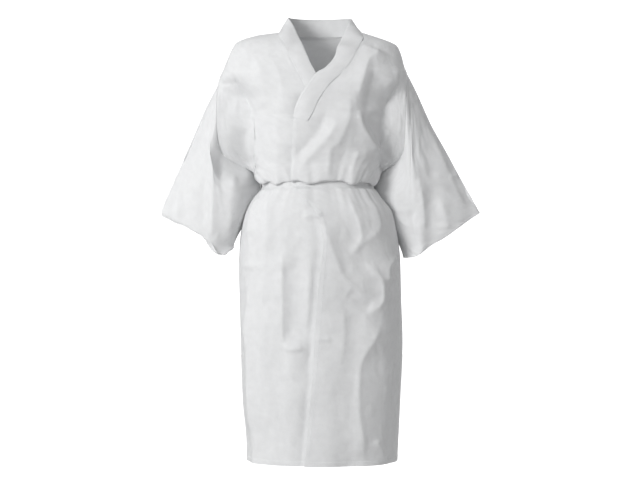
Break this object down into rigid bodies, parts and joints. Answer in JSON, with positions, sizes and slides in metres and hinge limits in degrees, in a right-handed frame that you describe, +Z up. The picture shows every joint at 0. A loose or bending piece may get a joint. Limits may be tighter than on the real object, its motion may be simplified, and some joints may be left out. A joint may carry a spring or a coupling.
{
  "type": "patient gown",
  "caption": "Knee-length wrap-over gown of thin white nonwoven cloth, with a crossed V neckband, wide set-in sleeves and a tied waist belt.",
  "frame": {"origin": "middle of the neck opening, at the height of the side neck points, where the gown hangs from the shoulders", "axes": "+Z up, -Y to the wearer's front, +X to the wearer's left"},
  "size_m": [0.7994, 0.2847, 1.119],
  "materials": {
    "gown_cloth": "matte",
    "belt_cloth": "matte",
    "seam_thread": "matte"
  },
  "bodies": {
    "gown_body": {"back_panel": "gown_cloth", "left_front_upper": "gown_cloth", "right_front_upper": "gown_cloth", "neckband": "gown_cloth", "waist_belt": "belt_cloth", "belt_knot": "belt_cloth", "left_belt_loop": "belt_cloth", "right_belt_loop": "belt_cloth", "left_shoulder_seam": "seam_thread", "right_shoulder_seam": "seam_thread", "left_armhole_seam": "seam_thread", "right_armhole_seam": "seam_thread", "left_side_seam": "seam_thread", "right_side_seam": "seam_thread"},
    "left_arm": {"left_sleeve": "gown_cloth"},
    "right_arm": {"right_sleeve": "gown_cloth"},
    "over_flap": {"left_front_skirt": "gown_cloth"},
    "under_flap": {"right_front_skirt": "gown_cloth"},
    "long_tie": {"belt_end_long": "belt_cloth"},
    "short_tie": {"belt_end_short": "belt_cloth"}
  },
  "joints": [
    {"name": "left_sleeve_lift", "type": "hinge", "parent": "gown_body", "child": "left_arm", "pos_m": [0.221, 0, -0.1], "axis": [0, -1, 0], "range_deg": [0, 35]},
    {"name": "right_sleeve_lift", "type": "hinge", "parent": "gown_body", "child": "right_arm", "pos_m": [-0.253, 0, -0.134], "axis": [0, 1, 0], "range_deg": [0, 35]},
    {"name": "over_flap_swing", "type": "hinge", "parent": "gown_body", "child": "over_flap", "pos_m": [0.216, 0.002, -0.7], "axis": [0, 0, 1], "range_deg": [0, 30]},
    {"name": "under_flap_swing", "type": "hinge", "parent": "gown_body", "child": "under_flap", "pos_m": [-0.206, 0.002, -0.7], "axis": [0, 0, -1], "range_deg": [0, 6.5]},
    {"name": "long_tie_swing", "type": "hinge", "parent": "gown_body", "child": "long_tie", "pos_m": [0.075, 0.101, -0.3965], "axis": [1, 0, 0], "range_deg": [0, 45]},
    {"name": "short_tie_swing", "type": "hinge", "parent": "gown_body", "child": "short_tie", "pos_m": [0.105, 0.092, -0.3965], "axis": [1, 0, 0], "range_deg": [0, 45]}
  ],
  "couplings": [
    {"joint": "under_flap_swing", "follows": "over_flap_swing", "ratio": 0.2}
  ]
}
